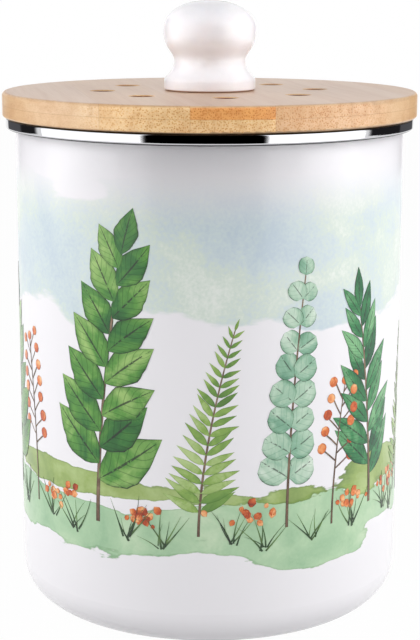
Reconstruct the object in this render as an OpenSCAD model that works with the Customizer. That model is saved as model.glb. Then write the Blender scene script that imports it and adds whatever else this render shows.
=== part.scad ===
// Compost caddy: an enamelled steel canister with a crimped stainless rim band, and a lift-off
// bamboo lid with eight vents, a ceramic knob, a silicone seal and a carbon filter held by clips.
// Millimetres. +Z is up, and the origin is on the table at the canister's axis.

/* [Canister] */
// Outer diameter of the straight wall
canister_d = 159.5; // [150:0.5:164]
// Height from the table to the top of the rim band
canister_h = 203.3; // [160:0.1:240]
// Thickness of the enamelled sheet
sheet_t = 1.2; // [0.8:0.1:1.5]
// Outer radius of the curve from wall to base
corner_r = 16; // [8:0.5:20]
// Height of the base's middle above the table
base_lift = 2; // [1:0.25:4]
// Width of the flat ring that the canister stands on
foot_w = 6; // [4:0.5:12]

/* [Rim] */
// Outer height of the rolled bead
bead_h = 3.7; // [3.4:0.1:5]
// How far the bead stands out from the wall
bead_out = 3.6; // [3.2:0.1:4]
// Gap between the end of the curl and the wall
curl_gap = 0.6; // [0.4:0.1:0.8]
// Thickness of the stainless band
band_t = 0.4; // [0.3:0.05:0.6]
// Clearance between the bead and the band
band_fit = 0.05; // [0.03:0.01:0.1]
// Outer radius of the band's two outside edges
band_edge_r = 1; // [0.7:0.05:1.3]
// Width of the flange that is crimped under the bead
band_under_w = 2.8; // [1.5:0.1:3]

/* [Lid board] */
// Diameter of the bamboo board
lid_d = 170; // [168:0.5:180]
// Thickness of the board
lid_t = 10; // [8:0.5:16]
// Radius of the board's upper edge
lid_top_r = 1.6; // [0.5:0.1:3]
// Radius of the board's lower edge
lid_under_r = 0.8; // [0.5:0.1:2]
// Gap between the rim band and the board
seat_gap = 0.2; // [0.1:0.05:0.3]
// Number of vent holes
vent_count = 8; // [6:1:10]
// Diameter of a vent hole
vent_d = 10; // [6:0.5:12]
// Diameter of the circle that the vents lie on
vent_circle_d = 88.2; // [80:0.2:98]
// Direction of the first vent, counted from +X
vent_turn = 7.9; // [0:0.1:45]
// Width of the chamfer at a vent's mouth
vent_chamfer = 0.4; // [0.2:0.1:0.8]

/* [Plug ring] */
// Gap between the ring and the canister's mouth, which the seal bridges
ring_gap = 3.5; // [3:0.1:5]
// Width of the ring, from its bore to its outside
ring_w = 15; // [14:0.5:18]
// Height of the ring
ring_h = 9; // [8:0.5:14]
// Chamfer round the ring's lower edges
ring_chamfer = 0.8; // [0.4:0.1:1.2]
// Height of the seal's groove
groove_h = 3; // [2.4:0.1:3.4]
// Depth of the seal's groove
groove_depth = 2.5; // [2:0.1:3]

/* [Seal] */
// Thickness of a sealing lip
lip_t = 0.8; // [0.6:0.05:0.9]
// Clearance between the lips and the canister's mouth
lip_gap = 0.3; // [0.2:0.05:0.5]
// How far each lip sweeps up towards its edge
lip_sweep = 0.7; // [0:0.1:1]
// Clearance between the seal and its groove
seal_fit = 0.1; // [0.05:0.01:0.15]

/* [Knob] */
// Diameter of the knob's head
knob_d = 38.1; // [34:0.1:44]
// Height of the knob
knob_h = 36.5; // [34:0.5:44]
// Height of the head's widest place
head_z = 25.1; // [22:0.1:28]
// Diameter of the knob's waist
waist_d = 29.5; // [24:0.1:32]
// Height of the waist
waist_z = 12.5; // [10:0.1:15]
// Diameter of the knob's foot
knob_foot_d = 37.6; // [34:0.1:42]
// Height of the upright side of the foot
knob_foot_h = 3.8; // [3.5:0.1:6]
// Radius of the foot's lower edge
knob_edge_r = 1.2; // [0.5:0.1:2]
// Diameter of the hollow under the foot
knob_hollow_d = 24; // [14:0.5:26]
// Depth of the hollow under the foot
knob_hollow_h = 1; // [0.8:0.1:2]

/* [Knob fixing] */
// Diameter of the machine screw
screw_d = 4; // [3:0.5:5]
// Length of the screw under its head
screw_len = 20; // [19:0.5:21]
// Diameter of the screw's head
screw_head_d = 8; // [7:0.5:9]
// Height of the screw's head
screw_head_h = 2.4; // [2:0.1:2.6]
// Diameter of the washer
washer_d = 12; // [11:0.5:16]
// Thickness of the washer
washer_t = 0.8; // [0.6:0.1:1]
// Depth of the counterbore under the board
counterbore_depth = 3.6; // [3.6:0.1:4.5]
// Gap round the washer in its counterbore
counterbore_gap = 0.5; // [0.3:0.1:1]
// Clearance round the screw in the board and the washer
screw_gap = 0.25; // [0.1:0.05:0.5]
// Clearance round the screw in its threaded insert
thread_fit = 0.05; // [0.02:0.01:0.1]
// Outer diameter of the threaded insert
insert_d = 7; // [6.5:0.5:9]
// Length of the threaded insert
insert_len = 12.5; // [8:0.5:12.5]
// Width of the flange round the insert's foot
insert_flange_w = 1.5; // [0.5:0.1:2]
// Height of the flange
insert_flange_h = 0.7; // [0.4:0.1:0.7]
// Number of grooves that the glue grips
insert_groove_count = 3; // [0:1:4]
// Width of a groove
insert_groove_w = 1.2; // [0.6:0.1:1.4]
// Depth of a groove
insert_groove_depth = 0.4; // [0.2:0.05:0.5]
// Clearance round the insert in the knob
insert_fit = 0.05; // [0.02:0.01:0.1]
// Depth of the hole in the knob
knob_bore_depth = 14.5; // [14.5:0.5:16]

/* [Filter] */
// Gap between the filter's edge and the ring
filter_gap = 0.5; // [0.3:0.1:1]
// Gap between the filter and the board
filter_play = 0.3; // [0.2:0.05:0.5]
// How far the filter lies inside the ring's lower face
filter_sink = 0.3; // [0.2:0.05:0.8]
// Radius of the filter's pressed edges
filter_edge_r = 1; // [0.5:0.1:2]

/* [Filter clips] */
// Thickness of a clip
clip_t = 1; // [0.8:0.1:1.5]
// Width of a clip round its screw
clip_w = 9; // [8:0.5:10]
// Width of a clip's nose
clip_nose_w = 6; // [5:0.5:7]
// Distance from the screw to the tip of the nose
clip_reach = 12.3; // [10:0.1:12.5]
// Distance from the ring's bore to the clip's screw
clip_inset = 5.2; // [5:0.1:6]
// Distance from the screw to the outside of the finger tab
clip_tab_reach = 6.6; // [6:0.1:7]
// Width of the finger tab
clip_tab_w = 6; // [4:0.5:7]
// How far the finger tab is turned down, from the clip's upper face
clip_tab_h = 4.2; // [3:0.1:6]
// Play above and below a clip
clip_play = 0.1; // [0.05:0.01:0.2]
// Running clearance of a clip on its screw
clip_fit = 0.08; // [0.03:0.01:0.1]
// Diameter of a clip's screw
clip_screw_d = 2.9; // [2.5:0.1:3.5]
// Length of a clip's screw under its head
clip_screw_len = 8; // [6:0.1:9]
// Diameter of a clip screw's head
clip_head_d = 5.6; // [5:0.1:7]
// Height of a clip screw's head
clip_head_h = 2; // [1.6:0.1:2.4]
// Clearance round a clip's screw in the ring
pilot_fit = 0.03; // [0.02:0.01:0.1]
// Direction of the first clip, counted from +X
clip_turn = 90; // [0:1:119]

/* [Hidden] */

$fn = 96;
clip_count = 3;
cut = 1;             // how far a cutting solid runs past a face
curve_steps = 16;    // steps in each curve of the knob's outline
drive_w_share = 0.14; // a cross recess against its screw's head
drive_len_share = 0.55;
drive_depth_share = 0.5;

// Canister and rim
wall_r = canister_d / 2;
mouth_r = wall_r - sheet_t;
foot_out_r = wall_r - corner_r;
foot_in_r = foot_out_r - foot_w;
bead_r = bead_h / 2;
bead_hollow_r = bead_r - sheet_t;
bead_in_x = wall_r + bead_hollow_r;
bead_out_x = wall_r + bead_out - bead_r;
band_clear = band_fit + band_t;
bead_z = canister_h - bead_r - band_clear;
band_r = wall_r + bead_out + band_clear;
band_inner_lip = 0.7; // share of the bead's radius at which the band's inner edge ends

// Lid
lid_r = lid_d / 2;
under_z = canister_h + seat_gap;
top_z = under_z + lid_t;
ring_r = mouth_r - ring_gap;
ring_bore_r = ring_r - ring_w;
ring_z = under_z - ring_h;
groove_z = ring_z + (ring_h - groove_h) / 2;
groove_r = ring_r - groove_depth;
lip_edge_r = mouth_r - lip_gap;

// Knob fixing
counterbore_z = under_z + counterbore_depth;
head_top_z = counterbore_z - washer_t;

// Filter and clips
filter_r = ring_bore_r - filter_gap;
filter_z = ring_z + filter_sink;
filter_t = under_z - filter_play - filter_z;
clip_pivot_r = ring_bore_r + clip_inset;
clip_z = ring_z - clip_play - clip_t;
clip_head_z = clip_z - clip_play;
pilot_depth = clip_screw_len - clip_t; // leaves the clip's play over the screw's tip

// Colours, as the photograph shows them
enamel = "#f4f3f5";
steel = "#c9cacc";
bamboo = "#e6bd86";
silicone = "#dfe1e0";
porcelain = "#f3f1f0";
brass = "#c7a24a";
charcoal = "#26282a";

// Half section of a pot: a solid of revolution's right half with a round lower corner
module pot_half(r, h, corner) {
    translate([0, corner]) square([r, h - corner]);
    square([r - corner, corner]);
    translate([r - corner, corner]) intersection() {
        circle(corner);
        translate([0, -corner]) square(corner);
    }
}

// Half section of the base's raised middle, with a 45 degree step at radius r
module lifted_half(r, lift) {
    polygon([[0, -cut], [r + cut, -cut], [r - lift, lift], [0, lift]]);
}

// The bead's outline grown to the radius r: a circle drawn out between two centres
module bead_outline(r) {
    translate([bead_in_x, bead_z]) circle(r);
    translate([bead_out_x, bead_z]) circle(r);
    translate([bead_in_x, bead_z - r]) square([bead_out_x - bead_in_x, 2 * r]);
}

module canister_section() {
    step_shift = sheet_t * tan(22.5); // keeps the sheet's thickness round the base's step
    difference() {
        pot_half(wall_r, bead_z, corner_r);
        difference() {
            translate([0, sheet_t]) pot_half(mouth_r, bead_z, corner_r - sheet_t);
            translate([0, sheet_t]) lifted_half(foot_in_r + step_shift, base_lift);
        }
        lifted_half(foot_in_r, base_lift);
    }
    difference() {
        bead_outline(bead_r);
        bead_outline(bead_hollow_r);
        translate([wall_r, bead_z - bead_h]) square([curl_gap, bead_h]);
    }
}

module canister() {
    color(enamel) rotate_extrude() canister_section();
}

// Half section of the band grown to the clearance c around the bead, with the outside edges round
module band_outline(c, edge) {
    r = bead_r + c;
    out_x = wall_r + bead_out + c;
    translate([bead_in_x, bead_z]) circle(r);
    translate([bead_in_x, bead_z - r]) square([out_x - edge - bead_in_x, 2 * r]);
    translate([bead_in_x, bead_z - r + edge]) square([out_x - bead_in_x, 2 * (r - edge)]);
    for (z = [bead_z - r + edge, bead_z + r - edge])
        translate([out_x - edge, z]) circle(edge);
}

module rim_band() {
    open_x = band_r - band_under_w;
    far = bead_in_x - bead_h;
    color(steel) rotate_extrude() difference() {
        band_outline(band_clear, band_edge_r);
        band_outline(band_fit, band_edge_r - band_t);
        translate([far, bead_z - bead_h])
            square([open_x - far, bead_h]);
        translate([far, bead_z - cut])
            square([bead_in_x - far, cut + bead_r * band_inner_lip]);
    }
}

// Half section of a disc between two radii, with its own edge radius above and below
module disc_half(r, h, top_edge, under_edge) {
    square([r - top_edge, h]);
    translate([0, under_edge]) square([r, h - top_edge - under_edge]);
    square([r - under_edge, under_edge]);
    translate([r - top_edge, h - top_edge]) intersection() {
        circle(top_edge);
        square(top_edge);
    }
    translate([r - under_edge, under_edge]) intersection() {
        circle(under_edge);
        translate([0, -under_edge]) square(under_edge);
    }
}

module at_vents() {
    for (i = [0 : vent_count - 1])
        rotate(vent_turn + i * 360 / vent_count)
            translate([vent_circle_d / 2, 0, 0])
                children();
}

module lid_board() {
    color(bamboo) difference() {
        translate([0, 0, under_z])
            rotate_extrude() disc_half(lid_r, lid_t, lid_top_r, lid_under_r);
        at_vents() {
            translate([0, 0, under_z - cut]) cylinder(d = vent_d, h = lid_t + 2 * cut);
            translate([0, 0, top_z - vent_chamfer])
                cylinder(d1 = vent_d, d2 = vent_d + 4 * vent_chamfer, h = 2 * vent_chamfer);
        }
        translate([0, 0, under_z - cut])
            cylinder(d = screw_d + 2 * screw_gap, h = lid_t + 2 * cut);
        translate([0, 0, under_z - cut])
            cylinder(d = washer_d + 2 * counterbore_gap, h = counterbore_depth + cut);
    }
}

// Places children at clip number i's pivot, with +X pointing to the lid's axis
module at_clip(i) {
    rotate(clip_turn + (i - 1) * 360 / clip_count)
        translate([clip_pivot_r, 0, 0])
            rotate(180)
                children();
}

module plug_ring() {
    color(bamboo) difference() {
        rotate_extrude() difference() {
            polygon([
                [ring_bore_r, under_z],
                [ring_bore_r, ring_z + ring_chamfer],
                [ring_bore_r + ring_chamfer, ring_z],
                [ring_r - ring_chamfer, ring_z],
                [ring_r, ring_z + ring_chamfer],
                [ring_r, under_z]
            ]);
            translate([groove_r, groove_z]) square([groove_depth + cut, groove_h]);
        }
        for (i = [1 : clip_count])
            at_clip(i) translate([0, 0, ring_z - cut])
                cylinder(d = clip_screw_d + 2 * pilot_fit, h = pilot_depth + cut);
    }
}

// A bead in the groove, a collar just outside it and two lips that sweep up to the mouth
module lid_seal() {
    root_r = groove_r + seal_fit;
    collar_r = ring_r + lip_t;
    low_z = groove_z + seal_fit;
    high_z = groove_z + groove_h - seal_fit;
    color(silicone) rotate_extrude() polygon([
        [root_r, low_z],
        [collar_r, low_z],
        [lip_edge_r, low_z + lip_sweep],
        [lip_edge_r, low_z + lip_sweep + lip_t / 2],
        [collar_r, low_z + lip_t],
        [collar_r, high_z - lip_t],
        [lip_edge_r, high_z - lip_t / 2 + lip_sweep],
        [lip_edge_r, high_z + lip_sweep],
        [collar_r, high_z],
        [root_r, high_z]
    ]);
}

// Points from (r0, z0) down to (r1, z1), upright at both ends. The bend above 1 holds the curve
// near r0 for longer.
function swell(r0, z0, r1, z1, bend) = [
    for (i = [0 : curve_steps]) let (s = i / curve_steps)
        [r1 + (r0 - r1) * (1 + cos(180 * pow(s, bend))) / 2, z0 + (z1 - z0) * s]
];

// Points of the head's dome, a quarter of an oval that is a little fuller than an ellipse
function dome(r, z, h, fullness) = [
    for (i = [0 : curve_steps]) let (a = 90 * i / curve_steps)
        [r * pow(sin(a), 2 / fullness), z + (h - z) * pow(cos(a), 2 / fullness)]
];

module knob() {
    head_r = knob_d / 2;
    waist_r = waist_d / 2;
    foot_r = knob_foot_d / 2;
    head_bend = 1.7;
    foot_bend = 1.45;
    head_fullness = 2.07;
    edge_steps = 4;
    outline = concat(
        dome(head_r, head_z, knob_h, head_fullness),
        swell(head_r, head_z - 0.1, waist_r, waist_z, head_bend),
        swell(waist_r, waist_z - 0.1, foot_r, knob_foot_h, foot_bend),
        [for (i = [0 : edge_steps]) let (a = 90 * i / edge_steps)
            [foot_r - knob_edge_r * (1 - cos(a)), knob_edge_r * (1 - sin(a))]],
        [[0, 0]]
    );
    color(porcelain) translate([0, 0, top_z]) difference() {
        rotate_extrude() polygon(outline);
        translate([0, 0, -cut]) cylinder(d = knob_hollow_d, h = knob_hollow_h + cut);
        translate([0, 0, -cut])
            cylinder(d = insert_d + 2 * insert_fit, h = knob_bore_depth + cut);
    }
}

// A flanged bush with grooves round it, spaced evenly between the knob's hollow and its own top
module knob_insert() {
    bore_r = screw_d / 2 + thread_fit;
    outer_r = insert_d / 2;
    pitch = (insert_len - knob_hollow_h) / (insert_groove_count + 1);
    color(brass) translate([0, 0, top_z]) rotate_extrude() difference() {
        union() {
            translate([bore_r, 0]) square([outer_r - bore_r, insert_len]);
            translate([bore_r, 0])
                square([outer_r + insert_flange_w - bore_r, insert_flange_h]);
        }
        if (insert_groove_count > 0)
            for (i = [1 : insert_groove_count])
                translate([outer_r - insert_groove_depth, knob_hollow_h + i * pitch - insert_groove_w / 2])
                    square([insert_groove_depth + cut, insert_groove_w]);
    }
}

// A pan-head screw that points up, with the underside of its head at z = 0
module pan_screw(d, length, head_d, head_h) {
    drive_w = head_d * drive_w_share;
    drive_len = head_d * drive_len_share;
    drive_depth = head_h * drive_depth_share;
    crown_r = head_d * 0.75;
    cylinder(d = d, h = length);
    difference() {
        intersection() {
            translate([0, 0, -head_h]) cylinder(d = head_d, h = head_h);
            translate([0, 0, crown_r - head_h]) sphere(crown_r);
        }
        for (a = [0, 90])
            rotate(a) translate([-drive_len / 2, -drive_w / 2, -head_h - cut])
                cube([drive_len, drive_w, drive_depth + cut]);
    }
}

module knob_screw() {
    color(steel) translate([0, 0, head_top_z])
        pan_screw(screw_d, screw_len, screw_head_d, screw_head_h);
}

module knob_washer() {
    color(steel) translate([0, 0, head_top_z]) difference() {
        cylinder(d = washer_d, h = washer_t);
        translate([0, 0, -cut]) cylinder(d = screw_d + 2 * screw_gap, h = washer_t + 2 * cut);
    }
}

module filter_pad() {
    color(charcoal) translate([0, 0, filter_z])
        rotate_extrude() disc_half(filter_r, filter_t, filter_edge_r, filter_edge_r);
}

// Outline of a clip: two circles and the straight sides that touch both
module clip_outline() {
    heel_r = clip_w / 2;
    nose_r = clip_nose_w / 2;
    nose_x = clip_reach - nose_r;
    lean = asin((heel_r - nose_r) / nose_x);
    circle(heel_r);
    translate([nose_x, 0]) circle(nose_r);
    polygon([
        [heel_r * sin(lean), heel_r * cos(lean)],
        [heel_r * sin(lean), -heel_r * cos(lean)],
        [nose_x + nose_r * sin(lean), -nose_r * cos(lean)],
        [nose_x + nose_r * sin(lean), nose_r * cos(lean)]
    ]);
}

// Side view of the finger tab: a strip from the screw outwards, turned down round a bend
module clip_tab_section() {
    down = clip_tab_h - clip_t;
    translate([-clip_tab_reach + clip_t, 0]) {
        square([clip_tab_reach - clip_t, clip_t]);
        intersection() {
            circle(clip_t);
            translate([-clip_t, 0]) square(clip_t);
        }
        translate([-clip_t, -down]) square([clip_t, down]);
    }
}

module filter_clip(i) {
    color(steel) at_clip(i) translate([0, 0, clip_z]) difference() {
        union() {
            linear_extrude(clip_t) clip_outline();
            rotate([90, 0, 0]) linear_extrude(clip_tab_w, center = true) clip_tab_section();
        }
        translate([0, 0, -cut])
            cylinder(d = clip_screw_d + 2 * clip_fit, h = clip_t + 2 * cut);
    }
}

module clip_screw(i) {
    color(steel) at_clip(i) translate([0, 0, clip_head_z])
        pan_screw(clip_screw_d, clip_screw_len, clip_head_d, clip_head_h);
}

canister();
rim_band();
lid_board();
plug_ring();
lid_seal();
knob();
knob_insert();
knob_screw();
knob_washer();
filter_pad();
filter_clip(1);  // filter_clip_1
filter_clip(2);  // filter_clip_2
filter_clip(3);  // filter_clip_3
clip_screw(1);  // clip_screw_1
clip_screw(2);  // clip_screw_2
clip_screw(3);  // clip_screw_3
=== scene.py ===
import math
import random

import bpy
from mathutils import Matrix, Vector


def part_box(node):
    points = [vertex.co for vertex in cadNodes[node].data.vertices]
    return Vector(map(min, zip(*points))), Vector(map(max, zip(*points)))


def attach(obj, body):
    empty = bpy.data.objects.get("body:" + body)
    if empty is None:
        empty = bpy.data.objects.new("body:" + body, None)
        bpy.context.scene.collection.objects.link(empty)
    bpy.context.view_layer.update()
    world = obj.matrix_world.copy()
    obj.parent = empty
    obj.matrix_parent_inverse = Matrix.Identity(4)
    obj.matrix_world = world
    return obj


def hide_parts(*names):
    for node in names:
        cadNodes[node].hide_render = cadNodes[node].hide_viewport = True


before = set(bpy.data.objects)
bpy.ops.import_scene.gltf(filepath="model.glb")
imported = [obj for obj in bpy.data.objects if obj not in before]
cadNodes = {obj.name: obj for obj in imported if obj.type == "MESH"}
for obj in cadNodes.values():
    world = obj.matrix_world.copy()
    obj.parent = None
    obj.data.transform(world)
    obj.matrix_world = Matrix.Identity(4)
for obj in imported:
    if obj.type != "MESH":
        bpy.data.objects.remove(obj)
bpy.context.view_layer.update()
mm = 0.001
poleRadius = 0.2  # mm, of the small face that closes a turned piece on its axis
print("frame loaded:", len(cadNodes), "nodes")

# pitch, distance and lens come from the lid's ellipse and the straight walls
view = {
    "place": (0, -683.8, 260.5),  # mm
    "pitchDown": 11.88,
    "roll": -0.13,
    "lens": 92.7,
    "sensor": 36,
}


def setCamera():
    bpy.ops.object.camera_add(location=Vector(view["place"]) * mm)
    camera = bpy.context.object
    camera.rotation_euler = (math.radians(90 - view["pitchDown"]), math.radians(view["roll"]), 0)
    camera.data.sensor_fit = "VERTICAL"
    camera.data.sensor_height = view["sensor"]
    camera.data.lens = view["lens"]
    camera.data.clip_start = 0.01
    bpy.context.scene.camera = camera


def linear(hexColour):
    channels = [int(hexColour[i:i + 2], 16) / 255 for i in (1, 3, 5)]
    return [c / 12.92 if c <= 0.04045 else ((c + 0.055) / 1.055) ** 2.4 for c in channels] + [1]


# adds one node: settings are its own fields or its sockets' values, and links are sockets fed by
# another node's socket, or by the first output that a node has in use
def addNode(tree, kind, settings=None, links=None):
    node = tree.nodes.new("ShaderNode" + kind)
    if kind == "Mix":
        node.data_type = "RGBA"

    def inlet(name):
        inUse = (socket for socket in node.inputs if socket.enabled and socket.name == name)
        return next(inUse, node.inputs[name])

    for name, value in (settings or {}).items():
        if name == "stops":
            stops = node.color_ramp.elements
            while len(stops) < len(value):
                stops.new(0.5)
            for stop, (position, colour) in zip(stops, value):
                stop.position = position
                stop.color = linear(colour)
        elif name in ("From", "To"):  # a range as one pair
            inlet(name + " Min").default_value, inlet(name + " Max").default_value = value
        elif isinstance(name, str) and hasattr(node, name):
            setattr(node, name, value)
        else:
            inlet(name).default_value = value
    for name, source in (links or {}).items():
        if isinstance(source, bpy.types.Node):
            source = next(socket for socket in source.outputs if socket.enabled)
        tree.links.new(source, inlet(name))
    return node


def newMaterial(name):
    material = bpy.data.materials.new(name)
    material.use_nodes = True
    material.node_tree.nodes.clear()
    return material, material.node_tree


# a material, its tree and the place of a point in millimetres, as every pattern here is sized
def startFinish(name):
    material, tree = newMaterial(name)
    place = addNode(tree, "TexCoord")
    inMm = addNode(tree, "VectorMath", {"operation": "SCALE", "Scale": 1 / mm}, {0: place.outputs["Object"]})
    return material, tree, inMm


# closes a finish: one shader in the piece's own values, over a relief that follows the height
def endFinish(tree, finish, height, links):
    bump = addNode(tree, "Bump", finish["relief"], {"Height": height})
    shader = addNode(tree, "BsdfPrincipled", finish["surface"], {"Normal": bump, **links})
    addNode(tree, "OutputMaterial", links={0: shader})


def wear(piece, material):
    piece.data.materials.clear()
    piece.data.materials.append(material)


# the low and high corners of a CAD node, in mm
def boxInMm(node):
    return [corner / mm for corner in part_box(node)]


def evenly(start, end, count):
    return [start + (end - start) * i / count for i in range(count + 1)]


def deselectAll():
    if bpy.context.object and bpy.context.object.mode != "OBJECT":
        bpy.ops.object.mode_set(mode="OBJECT")
    bpy.ops.object.select_all(action="DESELECT")


def pick(piece):
    deselectAll()
    piece.select_set(True)
    bpy.context.view_layer.objects.active = piece


# opens edit mode with only those vertices selected whose place in mm passes the test
def pickVertices(piece, test):
    pick(piece)
    bpy.ops.object.mode_set(mode="EDIT")
    bpy.ops.mesh.select_mode(type="VERT")
    bpy.ops.mesh.select_all(action="DESELECT")
    bpy.ops.object.mode_set(mode="OBJECT")
    for vertex in piece.data.vertices:
        vertex.select = test(vertex.co / mm)
    bpy.ops.object.mode_set(mode="EDIT")


def applyModifiers(piece):
    pick(piece)
    for modifier in list(piece.modifiers):
        bpy.ops.object.modifier_apply(modifier=modifier.name)


# puts the piece's place into its mesh, gives it a finish and lets it ride on a body
def finishPiece(piece, name, body, material, smoothAngle=35):
    pick(piece)
    bpy.ops.object.transform_apply(location=True, rotation=True, scale=True)
    bpy.ops.object.shade_smooth_by_angle(angle=math.radians(smoothAngle))
    piece.name = name
    piece.data.name = name
    wear(piece, material)
    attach(piece, body)


# turns a piece from (radius, height) rings in mm, each ring extruded from the one before;
# a hoop's last ring is bridged to its first, and any other piece is closed at both ends
def turnRings(rings, steps, hoop=False):
    deselectAll()
    radius, height = rings[0]
    bpy.ops.mesh.primitive_circle_add(vertices=steps, radius=radius * mm, location=(0, 0, height * mm))
    piece = bpy.context.object
    bpy.ops.object.transform_apply(location=True)
    bpy.ops.object.mode_set(mode="EDIT")
    bpy.ops.mesh.select_all(action="SELECT")
    for (oldRadius, oldHeight), (newRadius, newHeight) in zip(rings, rings[1:]):
        bpy.ops.mesh.extrude_region_move(
            TRANSFORM_OT_translate={"value": (0, 0, (newHeight - oldHeight) * mm)})
        grow = newRadius / oldRadius
        bpy.ops.transform.resize(value=(grow, grow, 1), center_override=(0, 0, newHeight * mm))
    bpy.ops.mesh.select_all(action="DESELECT")
    bpy.ops.mesh.select_non_manifold()
    if hoop:
        bpy.ops.mesh.bridge_edge_loops()
    else:
        bpy.ops.mesh.edge_face_add()
    bpy.ops.mesh.select_all(action="SELECT")
    bpy.ops.mesh.normals_make_consistent(inside=False)
    bpy.ops.object.mode_set(mode="OBJECT")
    return piece


wash = {
    "wetLevel": 0.5,  # what noise and cover have to reach together
    "thinning": 0.62,  # the cover lost between a layer's full and half height
    "cloud": {"Detail": 4, "Roughness": 0.55, "Distortion": 0.5},
}


# one layer of thin colour over what lies under it: islands round the wall with a torn or soft edge,
# darker where the colour gathered as it dried
def washLayer(tree, inMm, outside, under, layer):
    wide, high = 1 / layer["islandWidth"], 1 / layer["islandHeight"]
    wetLevel, cover = wash["wetLevel"], layer["cover"]
    spread = addNode(tree, "Mapping", {"Location": (layer["shift"], 0, layer["shift"]),
                                       "Scale": (wide, wide, high)}, {"Vector": inMm})
    island = addNode(tree, "TexNoise", {"Scale": 1, "Detail": layer["tears"], "Roughness": 0.5},
                     {"Vector": spread})
    axes = addNode(tree, "SeparateXYZ", links={0: inMm})
    offMiddle = addNode(tree, "Math", {"operation": "SUBTRACT", 1: layer["middle"]}, {0: axes.outputs["Z"]})
    away = addNode(tree, "Math", {"operation": "ABSOLUTE"}, {0: offMiddle})
    fall = addNode(tree, "MapRange", {"From": (layer["fullHeight"], layer["halfHeight"]), "clamp": False,
                                      "To": (cover, cover - wash["thinning"])}, {"Value": away})
    capped = addNode(tree, "Math", {"operation": "MINIMUM", 1: cover}, {0: fall})
    level = addNode(tree, "Math", {"operation": "ADD"}, {0: island, 1: capped})
    wet = addNode(tree, "MapRange", {"interpolation_type": "SMOOTHSTEP",
                                     "From": (wetLevel, wetLevel + layer["softness"])}, {"Value": level})
    rim = addNode(tree, "MapRange", {"From": (wetLevel, wetLevel + layer["rimWidth"]),
                                     "To": (layer["rimAmount"], 0)}, {"Value": level})
    cloud = addNode(tree, "TexNoise", {"Scale": 1 / layer["cloudSize"], **wash["cloud"]}, {"Vector": inMm})
    tooth = addNode(tree, "TexNoise", {"Scale": 1 / layer["toothSize"], "Detail": 2}, {"Vector": inMm})
    grained = addNode(tree, "Math", {"operation": "MULTIPLY_ADD", 1: layer["toothAmount"]},
                      {0: tooth, 2: cloud})
    shade = addNode(tree, "Math", {"operation": "SUBTRACT", 1: layer["toothAmount"] / 2}, {0: grained})
    tone = addNode(tree, "ValToRGB", {"stops": layer["stops"]}, {0: shade})
    rimmed = addNode(tree, "Mix", {"blend_type": "MULTIPLY", "B": linear(layer["rimTone"])},
                     {"Factor": rim, "A": tone})
    strength = addNode(tree, "Math", {"operation": "MULTIPLY", 1: layer["strength"]}, {0: wet})
    fade = addNode(tree, "MapRange", {"interpolation_type": "SMOOTHSTEP", "From": layer["fade"],
                                      "To": (1, 0)}, {"Value": axes.outputs["Z"]})
    faded = addNode(tree, "Math", {"operation": "MULTIPLY"}, {0: strength, 1: fade})
    share = addNode(tree, "Math", {"operation": "MULTIPLY"}, {0: faded, 1: outside})
    return addNode(tree, "Mix", links={"Factor": share, "A": under, "B": rimmed})


# what enamel and print share: the even gloss of fired glass over a slight waviness
gloss = {
    "waveSize": 28,  # mm
    "relief": {"Strength": 0.06, "Distance": 0.0004},
    "surface": {"Roughness": 0.2, "IOR": 1.52},
}


def fireGloss(tree, inMm, colour):
    wave = addNode(tree, "TexNoise", {"Scale": 1 / gloss["waveSize"], "Detail": 1}, {"Vector": inMm})
    endFinish(tree, gloss, wave, {"Base Color": colour})


# how far a point stands from the lid's axis
def addRadius(tree, inMm):
    flat = addNode(tree, "VectorMath", {"operation": "MULTIPLY", 1: (1, 1, 0)}, {0: inMm})
    return addNode(tree, "VectorMath", {"operation": "LENGTH"}, {0: flat})


# vitreous enamel fired on steel: deep gloss, milk white, with thin washes of colour fired in outside
def vitreousEnamel(wall):
    material, tree, inMm = startFinish("vitreousEnamel")
    outside = addNode(tree, "Math", {"operation": "GREATER_THAN", 1: wall["colourFrom"]},
                      {0: addRadius(tree, inMm)})
    colour = addNode(tree, "RGB")
    colour.outputs[0].default_value = linear(wall["white"])
    for layer in wall["washes"]:
        colour = washLayer(tree, inMm, outside, colour, layer)
    fireGloss(tree, inMm, colour)
    return material


# stainless steel strip, rolled and mirror-polished: reflects the room nearly whole, with faint
# scratches that run round
def mirrorStainless(band, foot, top):
    material, tree, inMm = startFinish("mirrorStainless")
    along, across = 1 / band["scratchLength"], 1 / band["scratchWidth"]
    stretched = addNode(tree, "Mapping", {"Scale": (along, along, across)}, {"Vector": inMm})
    scratch = addNode(tree, "TexNoise", {"Scale": 1, "Detail": 4, "Roughness": 0.7}, {"Vector": stretched})
    rough = addNode(tree, "MapRange", {"From": band["scratchSpan"], "To": band["roughness"]},
                    {"Value": scratch})
    # painted shade: the two bends are darkened, standing in for the shade under the lid and the dark line at
    # the crimped foot
    axes = addNode(tree, "SeparateXYZ", links={0: inMm})
    crimp = addNode(tree, "MapRange", {"interpolation_type": "SMOOTHSTEP", "To": (1, 0), "From": [
        foot + rise for rise in band["crimpShade"]]}, {"Value": axes.outputs["Z"]})
    hem = addNode(tree, "MapRange", {"interpolation_type": "SMOOTHSTEP", "From": [
        top - drop for drop in band["hemShade"]]}, {"Value": axes.outputs["Z"]})
    flatTop = addNode(tree, "MapRange", {"To": (1, 0), "From": [top - drop for drop in band["hemShadeEnd"]]},
                      {"Value": axes.outputs["Z"]})
    topBend = addNode(tree, "Math", {"operation": "MULTIPLY"}, {0: hem, 1: flatTop})
    bendShade = addNode(tree, "Math", {"operation": "MAXIMUM"}, {0: crimp, 1: topBend})
    tone = addNode(tree, "Mix", {"A": linear(band["tone"]), "B": linear(band["paintedBendShade"])}, {"Factor": bendShade})
    endFinish(tree, band, scratch, {"Base Color": tone, "Roughness": rough})
    return material


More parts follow.
